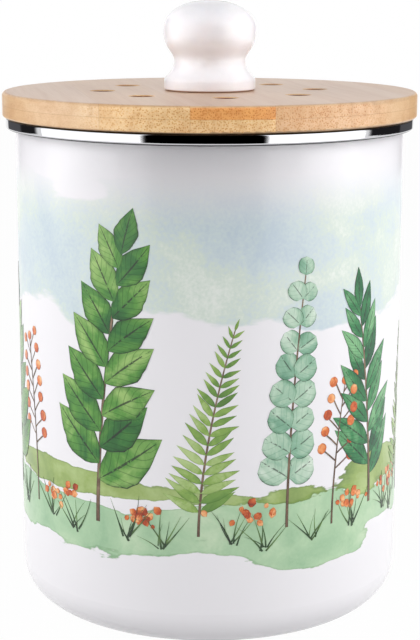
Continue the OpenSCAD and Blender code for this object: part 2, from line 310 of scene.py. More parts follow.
# laminated bamboo, planed, sanded and clear-lacquered: broad pale strips in two plies, fibre
# streaks along them, knuckles across them and a fine speckle where their ends are cut
def laminatedBamboo(board, plyHeight):
    material, tree, inMm = startFinish("laminatedBamboo")
    turn = (0, 0, math.radians(board["fibreTurn"]))
    turned = addNode(tree, "Mapping", {"Rotation": turn}, {"Vector": inMm})
    axes = addNode(tree, "SeparateXYZ", links={0: turned})

    # long along the strips and fine across them
    def stretch(width, length):
        scale = (1 / board[width], 1 / board[length], 1 / board[width])
        return addNode(tree, "Mapping", {"Scale": scale}, {"Vector": turned})

    # which strip of which ply
    ply = addNode(tree, "Math", {"operation": "SUBTRACT", 1: plyHeight}, {0: axes.outputs["Z"]})
    plySign = addNode(tree, "Math", {"operation": "SIGN"}, {0: ply})
    across = addNode(tree, "Math", {"operation": "ADD", 1: board["seamShift"]}, {0: axes.outputs["X"]})
    count = addNode(tree, "Math", {"operation": "DIVIDE", 1: board["stripWidth"]}, {0: across})
    strip = addNode(tree, "Math", {"operation": "FLOOR"}, {0: count})
    part = addNode(tree, "Math", {"operation": "FRACT"}, {0: count})
    key = addNode(tree, "CombineXYZ", {"Z": board["seed"]}, {"X": strip, "Y": plySign})
    chance = addNode(tree, "TexWhiteNoise", {"noise_dimensions": "3D"}, {"Vector": key})
    tone = addNode(tree, "ValToRGB", {"stops": board["stripStops"]}, {0: chance})

    # strip 0 is steamed in the upper ply, as its end shows, and the cut ends of those past it, on the board's
    # right, are darkened by a painted shade
    thisStrip = addNode(tree, "Math", {"operation": "COMPARE", 1: 0, 2: 0.1}, {0: strip})
    upper = addNode(tree, "Math", {"operation": "GREATER_THAN", 1: 0}, {0: plySign})
    steamed = addNode(tree, "Math", {"operation": "MULTIPLY"}, {0: thisStrip, 1: upper})
    rightShadeMask = addNode(tree, "Math", {"operation": "GREATER_THAN", 1: 0.5}, {0: strip})

    # fibres and broader streaks
    fibre = addNode(tree, "TexNoise", {"Scale": 1, "Detail": 3, "Roughness": 0.6},
                    {"Vector": stretch("fibreWidth", "fibreLength")})
    streak = addNode(tree, "TexNoise", {"Scale": 1, "Detail": 3},
                     {"Vector": stretch("streakWidth", "streakLength")})
    fibreTone = addNode(tree, "ValToRGB", {"stops": board["fibreStops"]}, {0: fibre})
    withFibre = addNode(tree, "Mix", {"blend_type": "MULTIPLY", "Factor": board["fibreAmount"]},
                        {"A": tone, "B": fibreTone})
    streakTone = addNode(tree, "ValToRGB", {"stops": board["streakStops"]}, {0: streak})
    withStreak = addNode(tree, "Mix", {"blend_type": "MULTIPLY", "Factor": board["streakAmount"]},
                         {"A": withFibre, "B": streakTone})

    # knuckles: each strip has its own, every hand's breadth or two
    stagger = addNode(tree, "Math", {"operation": "MULTIPLY_ADD", 1: board["knuckleSpacing"]},
                      {0: chance, 2: axes.outputs["Y"]})
    wander = addNode(tree, "Math", {"operation": "MULTIPLY_ADD", 1: board["knuckleWander"]},
                     {0: streak, 2: stagger})
    along = addNode(tree, "Math", {"operation": "PINGPONG", 1: board["knuckleSpacing"] / 2}, {0: wander})
    knuckle = addNode(tree, "MapRange", {"interpolation_type": "SMOOTHSTEP", "From": (
        0, board["knuckleWidth"]), "To": (board["knuckleAmount"], 0)}, {"Value": along})
    withKnuckles = addNode(tree, "Mix", {"blend_type": "MULTIPLY", "B": linear(board["knuckleTone"])},
                           {"Factor": knuckle, "A": withStreak})

    # glue lines between strips and between the plies
    edge = addNode(tree, "Math", {"operation": "PINGPONG", 1: 0.5}, {0: part})
    seam = addNode(tree, "MapRange", {"From": (0, board["seamWidth"] / board["stripWidth"]),
                                      "To": (1, 0)}, {"Value": edge})
    plyDistance = addNode(tree, "Math", {"operation": "ABSOLUTE"}, {0: ply})
    plySeam = addNode(tree, "MapRange", {"From": (0, board["seamWidth"]), "To": (1, 0)},
                      {"Value": plyDistance})
    seams = addNode(tree, "Math", {"operation": "MAXIMUM"}, {0: seam, 1: plySeam})
    seamShare = addNode(tree, "Math", {"operation": "MULTIPLY", 1: board["seamAmount"]}, {0: seams})

    # cut ends: dark bundles of fibre in paler pith
    place = addNode(tree, "TexCoord")
    normal = addNode(tree, "Mapping", {"vector_type": "NORMAL", "Rotation": turn},
                     {"Vector": place.outputs["Normal"]})
    normalAxes = addNode(tree, "SeparateXYZ", links={0: normal})
    facing = addNode(tree, "Math", {"operation": "ABSOLUTE"}, {0: normalAxes.outputs["Y"]})
    endCut = addNode(tree, "MapRange", {"interpolation_type": "SMOOTHSTEP", "From": board["endFacing"]},
                     {"Value": facing})
    cell = addNode(tree, "TexVoronoi", {"Scale": 1, "Randomness": 0.85},
                   {"Vector": stretch("bundleSpacing", "bundleLength")})
    speckle = addNode(tree, "ValToRGB", {"stops": board["endStops"]}, {0: cell})
    steamTone = addNode(tree, "Mix", {"blend_type": "MULTIPLY", "B": linear(board["steamTone"])},
                        {"Factor": steamed, "A": speckle})
    # painted shade on the right-hand cut ends
    withRightShade = addNode(tree, "Mix", {"blend_type": "MULTIPLY", "B": linear(board["paintedRightShade"])},
                       {"Factor": rightShadeMask, "A": steamTone})
    withEnds = addNode(tree, "Mix", {"blend_type": "MULTIPLY"},
                       {"Factor": endCut, "A": withKnuckles, "B": withRightShade})
    withSeams = addNode(tree, "Mix", {"blend_type": "MULTIPLY", "B": linear(board["seamTone"])},
                        {"Factor": seamShare, "A": withEnds})

    # cut along the fibre the wood is darker than at its ends, and the top face is greyed by a painted shade
    topShadeMask = addNode(tree, "MapRange", {"From": board["topFacing"]}, {"Value": normalAxes.outputs["Z"]})
    alongFibre = addNode(tree, "Math", {"operation": "SUBTRACT", 0: 1}, {1: endCut})
    sideTone = addNode(tree, "Mix", {"A": linear(board["sideTone"]), "B": linear(board["paintedTopShade"])},
                       {"Factor": topShadeMask})
    finished = addNode(tree, "Mix", {"blend_type": "MULTIPLY"},
                       {"Factor": alongFibre, "A": withSeams, "B": sideTone})

    # painted shade: the upright walls inside the drilled vents are darkened brown
    inner = addNode(tree, "Math", {"operation": "LESS_THAN", 1: board["drilledWithin"]},
                    {0: addRadius(tree, inMm)})
    level = addNode(tree, "Math", {"operation": "ABSOLUTE"}, {0: normalAxes.outputs["Z"]})
    upright = addNode(tree, "Math", {"operation": "LESS_THAN", 1: 0.5}, {0: level})
    ventShadeMask = addNode(tree, "Math", {"operation": "MULTIPLY"}, {0: inner, 1: upright})
    withVentShade = addNode(tree, "Mix", {"blend_type": "MULTIPLY", "B": linear(board["paintedVentShade"])},
                        {"Factor": ventShadeMask, "A": finished})
    endFinish(tree, board, fibre, {"Base Color": withVentShade})
    return material


# porcelain under a clear gloss glaze: soft white body, hard small highlights, bare clay on the foot's edge,
# coloured brown as a painted contact shade
def glazedPorcelain(pot, seat):
    material, tree, inMm = startFinish("glazedPorcelain")
    axes = addNode(tree, "SeparateXYZ", links={0: inMm})
    ripple = addNode(tree, "TexNoise", {"Scale": 1 / pot["rippleSize"], "Detail": 2}, {"Vector": inMm})
    # bare clay at the foot, darkened brown as a painted contact shade under the knob
    bareAndShade = addNode(tree, "MapRange", {"From": [seat + rise for rise in pot["bareAndShadeUpTo"]], "To": (1, 0)},
                   {"Value": axes.outputs["Z"]})
    glaze = addNode(tree, "ValToRGB", {"stops": pot["glazeStops"]}, {0: ripple})
    body = addNode(tree, "Mix", {"B": linear(pot["clayAndContactShade"])}, {"Factor": bareAndShade, "A": glaze})
    endFinish(tree, pot, ripple, {"Base Color": body})
    return material


# moulded silicone rubber: milky, soft satin, with the mould's fine grain
def mouldedSilicone(ring):
    material, tree, inMm = startFinish("mouldedSilicone")
    grain = addNode(tree, "TexNoise", {"Scale": 1 / ring["grainSize"], "Detail": 2}, {"Vector": inMm})
    tone = addNode(tree, "ValToRGB", {"stops": ring["stops"]}, {0: grain})
    endFinish(tree, ring, grain, {"Base Color": tone})
    return material


# needled felt full of activated charcoal: black, matt and fluffy, with paler fibre ends and a painted shade
# darkening its needle holes
def charcoalFelt(pad):
    material, tree, inMm = startFinish("charcoalFelt")
    matted = addNode(tree, "TexNoise", {"Scale": 1 / pad["tuftSize"], "Detail": 6, "Roughness": 0.75,
                                        "Distortion": 1.2}, {"Vector": inMm})
    needle = addNode(tree, "TexVoronoi", {"Scale": 1 / pad["needleSpacing"], "Randomness": 0.55},
                     {"Vector": inMm})
    hole = addNode(tree, "MapRange", {"From": pad["needleHole"]}, {"Value": needle})
    tone = addNode(tree, "ValToRGB", {"stops": pad["stops"]}, {0: matted})
    # painted shade in the needle holes
    withHoleShade = addNode(tree, "Mix", {"A": linear(pad["needleHoleShade"])}, {"Factor": hole, "B": tone})
    height = addNode(tree, "Math", {"operation": "MULTIPLY"}, {0: matted, 1: hole})
    endFinish(tree, pad, height, {"Base Color": withHoleShade})
    return material


# a turned or stamped metal: fine lines round the Z axis or along Y, in its own colour
def workedMetal(name):
    tone, roughness, linesPerMm = fittings["metals"][name]
    material, tree, inMm = startFinish(name)
    lines = addNode(tree, "Mapping", {"Scale": linesPerMm}, {"Vector": inMm})
    grain = addNode(tree, "TexNoise", {"Scale": 1, "Detail": 3, "Roughness": 0.65}, {"Vector": lines})
    spread = [roughness * share for share in fittings["roughSpread"]]
    rough = addNode(tree, "MapRange", {"To": spread}, {"Value": grain})
    metal = {"relief": fittings["relief"], "surface": {"Base Color": linear(tone), "Metallic": 1}}
    endFinish(tree, metal, grain, {"Roughness": rough})
    return material


brush = {
    "speckSize": 1.6,  # mm between the places where the pen skipped
    "driedFrom": 0.34,  # with the midrib at 0 and the outline at 0.5
    "driedAmount": 0.6,
    "veinCore": 0.02,
    "outlineSoft": 0.015,
    "ribSoft": 0.012,
    "skipSoft": 0.06,
    "ink": "#1a1f1a",
    "bloom": {"Detail": 5, "Roughness": 0.6, "Distortion": 0.8},
}


# ceramic print fired under the gloss: thin watercolour with blooms, dark dried rims and broken ink lines.
# The UV map runs along the shape in U and across it in V; tone lightens or darkens each shape.
def firedPrint(name, pigment):
    material, tree, inMm = startFinish(name)
    bloom = addNode(tree, "TexNoise", {"Scale": 1 / pigment["bloomSize"], **brush["bloom"]}, {"Vector": inMm})
    speck = addNode(tree, "TexNoise", {"Scale": 1 / brush["speckSize"], "Detail": 2}, {"Vector": inMm})
    shapeTone = addNode(tree, "Attribute", {"attribute_name": "tone"})
    place = addNode(tree, "TexCoord")
    uv = addNode(tree, "SeparateXYZ", links={0: place.outputs["UV"]})
    fromBase = addNode(tree, "Math", {"operation": "MULTIPLY_ADD", 1: pigment["tipShare"]},
                       {0: uv.outputs["X"], 2: bloom})
    level = addNode(tree, "Math", {"operation": "ADD"}, {0: fromBase, 1: shapeTone.outputs["Fac"]})
    paint = addNode(tree, "ValToRGB", {"stops": pigment["stops"]}, {0: level})

    offMiddle = addNode(tree, "Math", {"operation": "SUBTRACT", 1: 0.5}, {0: uv.outputs["Y"]})
    side = addNode(tree, "Math", {"operation": "ABSOLUTE"}, {0: offMiddle})
    dried = addNode(tree, "MapRange", {"From": (brush["driedFrom"], 0.5), "To": (0, brush["driedAmount"])},
                    {"Value": side})
    withRim = addNode(tree, "Mix", {"blend_type": "MULTIPLY", "B": linear(pigment["rim"])},
                      {"Factor": dried, "A": paint})

    # side veins slant forward from the midrib
    veinCount, veinSlant, veinWidth, veinAmount = pigment["veins"]
    slanted = addNode(tree, "Math", {"operation": "MULTIPLY_ADD", 1: -veinSlant},
                      {0: side, 2: uv.outputs["X"]})
    spaced = addNode(tree, "Math", {"operation": "MULTIPLY", 1: veinCount}, {0: slanted})
    ladder = addNode(tree, "Math", {"operation": "PINGPONG", 1: 0.5}, {0: spaced})
    vein = addNode(tree, "MapRange", {"From": (brush["veinCore"], veinWidth), "To": (veinAmount, 0)},
                   {"Value": ladder})
    withVeins = addNode(tree, "Mix", {"blend_type": "MULTIPLY", "B": linear(pigment["rim"])},
                        {"Factor": vein, "A": withRim})

    # ink: along the outline and the midrib, lost wherever the pen skipped
    inkEdge, ribWidth, penSkip = pigment["inkEdge"], pigment["ribWidth"], pigment["penSkip"]
    outline = addNode(tree, "MapRange", {"From": (inkEdge, inkEdge + brush["outlineSoft"])}, {"Value": side})
    midrib = addNode(tree, "MapRange", {"From": (ribWidth, ribWidth + brush["ribSoft"]), "To": (1, 0)},
                     {"Value": side})
    pen = addNode(tree, "Math", {"operation": "MAXIMUM"}, {0: outline, 1: midrib})
    skip = addNode(tree, "MapRange", {"From": (penSkip, penSkip + brush["skipSoft"])}, {"Value": speck})
    inked = addNode(tree, "Math", {"operation": "MULTIPLY"}, {0: pen, 1: skip})
    inkShare = addNode(tree, "Math", {"operation": "MULTIPLY", 1: pigment["inkAmount"]}, {0: inked})
    withInk = addNode(tree, "Mix", {"B": linear(brush["ink"])}, {"Factor": inkShare, "A": withVeins})
    fireGloss(tree, inMm, withInk)
    return material


# the pieces' sizes are in mm, but a relief's distance and a light's depth under a surface in metres
canister = {
    "white": "#e9e7eb",
    "colourFrom": 79.4,  # radius; all within it is the plain white inside
    "washes": [
        {   # thin sky-coloured wash
            "shift": 3, "islandWidth": 70, "islandHeight": 24, "tears": 5, "middle": 158,
            "fullHeight": 16, "halfHeight": 50, "cover": 0.24, "softness": 0.05, "rimWidth": 0.05,
            "rimAmount": 0.35, "rimTone": "#dcebe6", "cloudSize": 34, "toothSize": 1.3, "toothAmount": 0.34,
            "stops": [(0.28, "#b4c6d2"), (0.45, "#c2d2d5"), (0.58, "#cbd9cd"), (0.74, "#dfe6de")],
            "strength": 0.85, "fade": (166, 190),
        },
        {   # palest green, low and broad
            "shift": 11, "islandWidth": 62, "islandHeight": 20, "tears": 7, "middle": 48,
            "fullHeight": 4, "halfHeight": 26, "cover": 0.17, "softness": 0.012, "rimWidth": 0.03,
            "rimAmount": 0.8, "rimTone": "#a5c3a0", "cloudSize": 24, "toothSize": 1.1, "toothAmount": 0.1,
            "stops": [(0.3, "#8fb78f"), (0.5, "#a8c9a2"), (0.7, "#c8dcbb")],
            "strength": 0.95, "fade": (110, 130),
        },
        {   # yellower green over it
            "shift": 27, "islandWidth": 48, "islandHeight": 17, "tears": 7, "middle": 66,
            "fullHeight": 3, "halfHeight": 22, "cover": 0.07, "softness": 0.012, "rimWidth": 0.035,
            "rimAmount": 0.8, "rimTone": "#8fae6c", "cloudSize": 20, "toothSize": 1.1, "toothAmount": 0.1,
            "stops": [(0.3, "#728f3f"), (0.5, "#8ea653"), (0.7, "#abc07c")],
            "strength": 0.95, "fade": (110, 130),
        },
    ],
}


def dressCanister():
    wear(cadNodes["canister"], vitreousEnamel(canister))


rimBand = {
    "steps": 256,
    "thickness": 0.4,
    "bendRadius": 1,
    "bendSteps": 8,
    "underWidth": 2.8,
    "beadRadius": 2.3,  # of the bend round the bead's inner side
    "beadShift": 1.1,
    "hemDrop": 1.005,  # from the top to the hem's end
    "crown": 0.03,
    "tone": "#d2d2d5",
    # painted shade in the band's two bends
    "paintedBendShade": "#353538",
    "crimpShade": (0.35, 0.8),  # over the foot, where the painted shade fades out
    "hemShade": (0.8, 0.45),  # under the top, where the painted shade comes in
    "hemShadeEnd": (0.22, 0.1),  # and where it fades out again on the flat top
    "scratchLength": 20,
    "scratchWidth": 1 / 6,
    "scratchSpan": (0.3, 0.75),  # of the noise, spread over the roughness
    "roughness": (0.015, 0.055),
    "relief": {"Strength": 0.03, "Distance": 0.0001},
    "surface": {"Metallic": 1},
}


# a rolled strip: hemmed over the bead inside, flat on top, barrelled a little outside, crimped under
def makeRimBand():
    low, high = boxInMm("rim_band")
    outside = (high.x - low.x) / 2
    top, foot = high.z, low.z
    bend, count, crown = rimBand["bendRadius"], rimBand["bendSteps"], rimBand["crown"]
    beadRadius, thickness = rimBand["beadRadius"], rimBand["thickness"]
    beadZ = top - beadRadius
    beadX = outside - (top - foot) / 2 - rimBand["beadShift"]

    # one side of the strip, from the hem's end over the top to the end of the crimp
    def skin(inward):
        radius = beadRadius - inward
        start = math.asin((beadRadius - rimBand["hemDrop"]) / radius)
        centre = outside - bend
        corner = bend - inward
        quarter = evenly(0, math.pi / 2, count)
        points = [(beadX - radius * math.cos(turn), beadZ + radius * math.sin(turn))
                  for turn in evenly(start, math.pi / 2, count)]
        points += [(centre + corner * math.sin(turn) - crown, top - bend + corner * math.cos(turn))
                   for turn in quarter]
        points.append((outside - inward, (top + foot) / 2))
        points += [(centre + corner * math.cos(turn) - crown, foot + bend - corner * math.sin(turn))
                   for turn in quarter]
        points.append((outside - rimBand["underWidth"], foot + inward))
        return points

    piece = turnRings(skin(0) + skin(thickness)[::-1], rimBand["steps"], hoop=True)
    finishPiece(piece, "rimBandRolled", "bin", mirrorStainless(rimBand, foot, top))
    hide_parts("rim_band")
    print("rim band rolled")


bambooBoard = {
    "fibreTurn": -10.4,  # degrees
    "stripWidth": 31.3,
    "seamShift": 22.3,
    "seed": 3,
    "stripStops": [(0, "#f8dfb8"), (0.4, "#fae4c1"), (0.7, "#f6dbb0"), (1, "#f2d3a4")],
    "steamTone": "#f4c896",
    # painted shade on the cut ends right of strip 0
    "paintedRightShade": "#e5d3c9",
    "drilledWithin": 59,
    # painted shade on the walls inside the vents
    "paintedVentShade": "#93683f",
    # painted shade on the top face, over the span of upward facing below
    "paintedTopShade": "#cfc1c4",
    "topFacing": (0.75, 0.97),
    "sideTone": "#ddcec1",
    "fibreWidth": 0.5,
    "fibreLength": 30,
    "fibreStops": [(0.3, "#c79b6b"), (0.5, "#f3e6d4"), (0.7, "#ffffff")],
    "fibreAmount": 0.32,
    "streakWidth": 4,
    "streakLength": 110,
    "streakStops": [(0.3, "#dcb98e"), (0.6, "#ffffff")],
    "streakAmount": 0.4,
    "knuckleSpacing": 190,
    "knuckleWander": 5,
    "knuckleWidth": 2.2,
    "knuckleAmount": 0.22,
    "knuckleTone": "#c08f5c",
    "endFacing": (0.62, 0.86),
    "bundleSpacing": 0.76,
    "bundleLength": 60,
    "endStops": [(0.05, "#c49564"), (0.28, "#f3dab4"), (0.5, "#fffdf8")],
    "seamWidth": 0.2,
    "seamAmount": 0.35,
    "seamTone": "#b98a55",
    "relief": {"Strength": 0.12, "Distance": 0.0002},
    "surface": {"Roughness": 0.36, "IOR": 1.5, "Coat Weight": 0.3, "Coat Roughness": 0.3},
}


# the board's two plies meet halfway up it, and the ring under it is cut from the same stock
def dressBamboo():
    low, high = boxInMm("lid_board")
    bamboo = laminatedBamboo(bambooBoard, (low.z + high.z) / 2)
    wear(cadNodes["lid_board"], bamboo)
    wear(cadNodes["plug_ring"], bamboo)


knob = {
    "steps": 96,
    "curveSteps": 18,
    "headHeight": 25.1,
    "headFullness": 2.07,
    "headBend": 1.7,
    "waistRadius": 14.75,
    "waistHeight": 12.5,
    "footRadius": 18.8,
    "footHeight": 3.8,
    "footBend": 1.45,
    "edgeRadius": 1.2,
    "edgeSteps": 4,
    "boreRadius": 3.55,
    "boreDepth": 14.5,
    "hollowRadius": 12,
    "hollowDepth": 1,
    "hollowEdge": 0.3,
    "rippleSize": 14,
    "glazeStops": [(0.3, "#ebe9ed"), (0.7, "#f1eff3")],
    # bare clay at the foot, its brown a painted contact shade
    "clayAndContactShade": "#a8836a",
    "bareAndShadeUpTo": (0.35, 0.8),  # over the seat
    "relief": {"Strength": 0.05, "Distance": 0.0003},
    "surface": {"Roughness": 0.26, "IOR": 1.5, "Coat Weight": 0.4, "Coat Roughness": 0.12,
                "Subsurface Weight": 0.08, "Subsurface Radius": (0.002, 0.0015, 0.001)},
}


def makeKnob():
    low, high = boxInMm("knob")
    seat, headRadius = low.z, (high.x - low.x) / 2
    shares = evenly(0, 1, knob["curveSteps"])[1:]
    headHeight, bore, hollow = knob["headHeight"], knob["boreRadius"], knob["hollowRadius"]
    depth, slope, edge = knob["hollowDepth"], knob["hollowEdge"], knob["edgeRadius"]

    # the rings from a lower one up to an upper one, upright at both ends
    def swell(lower, upper, bend):
        return [(lower[0] + (upper[0] - lower[0]) * (1 + math.cos(math.pi * share ** bend)) / 2,
                 upper[1] + (lower[1] - upper[1]) * share) for share in shares[-2::-1]]

    head = (headRadius, headHeight)
    waist = (knob["waistRadius"], knob["waistHeight"])
    foot = (knob["footRadius"], knob["footHeight"])
    rings = [(poleRadius, knob["boreDepth"]), (bore, knob["boreDepth"]), (bore, depth),
             (hollow - slope, depth), (hollow, depth - slope), (hollow, 0)]
    rings += [(foot[0] - edge + edge * math.sin(turn), edge - edge * math.cos(turn))
              for turn in evenly(0, math.pi / 2, knob["edgeSteps"])]
    rings += [foot] + swell(foot, waist, knob["footBend"]) + [waist]
    rings += swell(waist, head, knob["headBend"]) + [head]
    domeHeight = high.z - seat - headHeight
    power = 2 / knob["headFullness"]
    rings += [(headRadius * math.cos(math.pi / 2 * share) ** power,
               headHeight + domeHeight * math.sin(math.pi / 2 * share) ** power) for share in shares[:-1]]
    rings.append((poleRadius, high.z - seat))
    piece = turnRings([(radius, seat + height) for radius, height in rings], knob["steps"])
    finishPiece(piece, "knobGlazed", "lid", glazedPorcelain(knob, seat))
    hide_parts("knob")
    print("knob turned")


filterPad = {
    "steps": 120,
    "edgeRadius": 1.6,
    "edgeSteps": 4,
    "crown": 0.5,  # how much thinner the felt is towards its edge, on each face
    "faceRings": 26,
    "fluff": 0.35,
    "fluffSize": 6,
    "clearance": 0.1,
    "tuftSize": 0.625,
    "needleSpacing": 2.4,
    "needleHole": (0.08, 0.3),
    # painted shade in the needle holes
    "needleHoleShade": "#08090a",
    "stops": [(0.3, "#151617"), (0.6, "#2c2e30"), (0.78, "#5a5d60")],
    "relief": {"Strength": 0.8, "Distance": 0.0005},
    "surface": {"Roughness": 0.95, "Sheen Weight": 0.35, "Sheen Roughness": 0.5},
}


# a cut felt disc: crowned a little, its edge drawn round by the cutter, its faces uneven
def makeFilterPad():
    low, high = boxInMm("filter_pad")
    middle = (low.z + high.z) / 2
    half = (high.z - low.z) / 2 - filterPad["clearance"] - filterPad["fluff"] / 2
    edge, crown, count = filterPad["edgeRadius"], filterPad["crown"], filterPad["faceRings"]
    flat = (high.x - low.x) / 2 - filterPad["clearance"] - edge
    rim = half - crown - edge
    upper = [(poleRadius, half)]
    upper += [(flat * share, half - crown * share ** 2) for share in evenly(0, 1, count)[1:-1]]
    upper += [(flat + edge * math.sin(turn), rim + edge * math.cos(turn))
              for turn in evenly(0, math.pi / 2, filterPad["edgeSteps"])]
    rings = upper + [(radius, -height) for radius, height in reversed(upper)]
    piece = turnRings([(radius, middle + height) for radius, height in rings], filterPad["steps"])
    clouds = bpy.data.textures.new("feltClouds", "CLOUDS")
    clouds.noise_scale = filterPad["fluffSize"] * mm
    uneven = piece.modifiers.new("uneven", "DISPLACE")
    uneven.texture = clouds
    uneven.direction = "Z"
    uneven.texture_coords = "LOCAL"
    uneven.strength = filterPad["fluff"] * mm
    applyModifiers(piece)
    finishPiece(piece, "filterFelt", "lid", charcoalFelt(filterPad), smoothAngle=60)
    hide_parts("filter_pad")
    print("filter pad cut")


lidSeal = {
    "steps": 144,
    "lip": 0.8,
    "lipTaper": 0.08,
    "sweep": 0.7,
    "tipSteps": 5,
    "collarGap": 0.8,  # from the plug ring's wall to the collar's outside
    "collarEdge": 0.3,
    "fillet": (0.2, 0.15),
    "footDepth": 2.4,
    "grainSize": 0.4,
    "stops": [(0.2, "#d6d8d6"), (0.8, "#e4e6e4")],
    "relief": {"Strength": 0.15, "Distance": 0.00005},
    "surface": {"Roughness": 0.48, "IOR": 1.41, "Subsurface Weight": 0.2,
                "Subsurface Radius": (0.0015, 0.0015, 0.0015)},
}


# an extruded silicone ring: a foot in the groove, a collar, and two lips with round tips
def makeLidSeal():
    low, high = boxInMm("lid_seal")
    ringLow, ringHigh = boxInMm("plug_ring")
    tip = (high.x - low.x) / 2
    wall = (ringHigh.x - ringLow.x) / 2
    root = wall - lidSeal["footDepth"]
    collar = wall + lidSeal["collarGap"]
    shoulder = collar - lidSeal["collarEdge"]
    foot, top = low.z, high.z - lidSeal["sweep"]
    lip, tipRadius = lidSeal["lip"], lidSeal["lip"] / 4
    out, up = lidSeal["fillet"]

    # one lip as points: out along its underside, round the tip and back along its top
    def lipPoints(under):
        middle = under + lidSeal["sweep"] + tipRadius
        return ([(collar + out, under)]
                + [(tip - tipRadius + tipRadius * math.sin(turn), middle - tipRadius * math.cos(turn))
                   for turn in evenly(0, math.pi, lidSeal["tipSteps"])]
                + [(collar + out, under + lip - lidSeal["lipTaper"])])

    rings = [(root, foot), (shoulder, foot)] + lipPoints(foot)
    rings += [(collar, foot + lip + up), (collar, top - lip - up)]
    rings += lipPoints(top - lip) + [(shoulder, top), (root, top)]
    piece = turnRings(rings, lidSeal["steps"], hoop=True)
    finishPiece(piece, "siliconeSeal", "lid", mouldedSilicone(lidSeal), smoothAngle=50)
    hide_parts("lid_seal")
    print("seal moulded")


fittings = {
    "edgeWidth": 0.16,
    "edgeSegments": 2,
    "sharpFrom": 38,  # degrees
    "mergeWithin": 0.002,
    "flatWithin": 1,  # degrees
    "relief": {"Strength": 0.1, "Distance": 0.00005},
    "roughSpread": (0.7, 1.4),  # of a metal's roughness, from its lines' floors to their ridges
    "metals": {  # tone, roughness, and lines to the mm along each axis
        "stampedStainless": ("#b9babd", 0.28, (1, 0.08, 1)),
        "turnedStainless": ("#c4c5c8", 0.2, (0.3, 0.3, 3)),
        "turnedBrass": ("#c79a45", 0.25, (0.3, 0.3, 3)),
    },
}


# a stamped or turned fitting with its edges tumbled round, made over its plain solid
def tumbleEdges(node, name, body, material):
    piece = cadNodes[node].copy()
    piece.data = cadNodes[node].data.copy()
    piece.parent = None
    piece.matrix_world = cadNodes[node].matrix_world
    bpy.context.collection.objects.link(piece)
    pick(piece)
    if piece.data.has_custom_normals:
        bpy.ops.mesh.customdata_custom_splitnormals_clear()
    bpy.ops.object.mode_set(mode="EDIT")
    bpy.ops.mesh.select_all(action="SELECT")
    bpy.ops.mesh.remove_doubles(threshold=fittings["mergeWithin"] * mm)
    bpy.ops.mesh.dissolve_limited(angle_limit=math.radians(fittings["flatWithin"]))
    bpy.ops.object.mode_set(mode="OBJECT")
    soften = piece.modifiers.new("tumbled", "BEVEL")
    soften.width = fittings["edgeWidth"] * mm
    soften.segments = fittings["edgeSegments"]
    soften.limit_method = "ANGLE"
    soften.angle_limit = math.radians(fittings["sharpFrom"])
    applyModifiers(piece)
    finishPiece(piece, name, body, material)
    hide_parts(node)


def makeFittings():
    stamped = workedMetal("stampedStainless")
    turned = workedMetal("turnedStainless")
    wear(cadNodes["knob_insert"], workedMetal("turnedBrass"))
    tumbleEdges("knob_screw", "knobScrewTumbled", "lid", turned)
    tumbleEdges("knob_washer", "knobWasherTumbled", "lid", stamped)
    for i in ("1", "2", "3"):
        tumbleEdges("filter_clip_" + i, "filterClipTumbled" + i, "clip_" + i, stamped)
        tumbleEdges("clip_screw_" + i, "clipScrewTumbled" + i, "lid", turned)
    print("fittings tumbled")


pigments = {  # veins: count, slant, width, amount
    "broadLeaf": {
        "stops": [(0.25, "#174a26"), (0.45, "#2f6d2f"), (0.6, "#57903c"), (0.8, "#98bb6c")],
        "bloomSize": 15, "tipShare": 0.16, "rim": "#5f8f62", "ribWidth": 0.022, "veins": (7, 0.55, 0.09, 0.6),
        "inkEdge": 0.465, "inkAmount": 0.85, "penSkip": 0.36,
    },
    "fern": {
        "stops": [(0.25, "#47702f"), (0.45, "#67903f"), (0.62, "#88a951"), (0.8, "#b4c98a")],
        "bloomSize": 12, "tipShare": 0.14, "rim": "#87a95a", "ribWidth": 0, "veins": (0, 0.5, 0.1, 0),
        "inkEdge": 0.47, "inkAmount": 0.6, "penSkip": 0.55,
    },
    "roundLeaf": {
        "stops": [(0.25, "#5f937a"), (0.45, "#86b096"), (0.62, "#aecab4"), (0.8, "#d2e0d2")],
        "bloomSize": 11, "tipShare": 0.12, "rim": "#8db7a0", "ribWidth": 0.018, "veins": (4, 0.7, 0.08, 0.4),
        "inkEdge": 0.465, "inkAmount": 0.7, "penSkip": 0.4,
    },
    "lanceLeaf": {
        "stops": [(0.25, "#0b3b27"), (0.45, "#175c38"), (0.6, "#33804c"), (0.8, "#7cb380")],
        "bloomSize": 13, "tipShare": 0.16, "rim": "#3f7a57", "ribWidth": 0.03, "veins": (9, 0.5, 0.1, 0.6),
        "inkEdge": 0.455, "inkAmount": 0.8, "penSkip": 0.36,
    },
    "berry": {
        "stops": [(0.25, "#7a2a16"), (0.45, "#b54a22"), (0.65, "#d9773b"), (0.85, "#eeb47c")],
        "bloomSize": 4, "tipShare": 0.2, "rim": "#b5502c", "ribWidth": 0, "veins": (0, 0.5, 0.1, 0),
        "inkEdge": 0.44, "inkAmount": 0.55, "penSkip": 0.5,
    },
    "stem": {
        "stops": [(0.3, "#47362b"), (0.5, "#6a5242"), (0.7, "#8d7660")],
        "bloomSize": 9, "tipShare": 0.1, "rim": "#6d5747", "ribWidth": 0, "veins": (0, 0.5, 0.1, 0),
        "inkEdge": 0.4, "inkAmount": 0.7, "penSkip": 0.4,
    },
    "grass": {
        "stops": [(0.3, "#1d2d1f"), (0.55, "#33502f"), (0.85, "#6d8f4c")],
        "bloomSize": 9, "tipShare": 0.3, "rim": "#39543a", "ribWidth": 0, "veins": (0, 0.5, 0.1, 0),
        "inkEdge": 0.46, "inkAmount": 0.5, "penSkip": 0.4,
    },
}

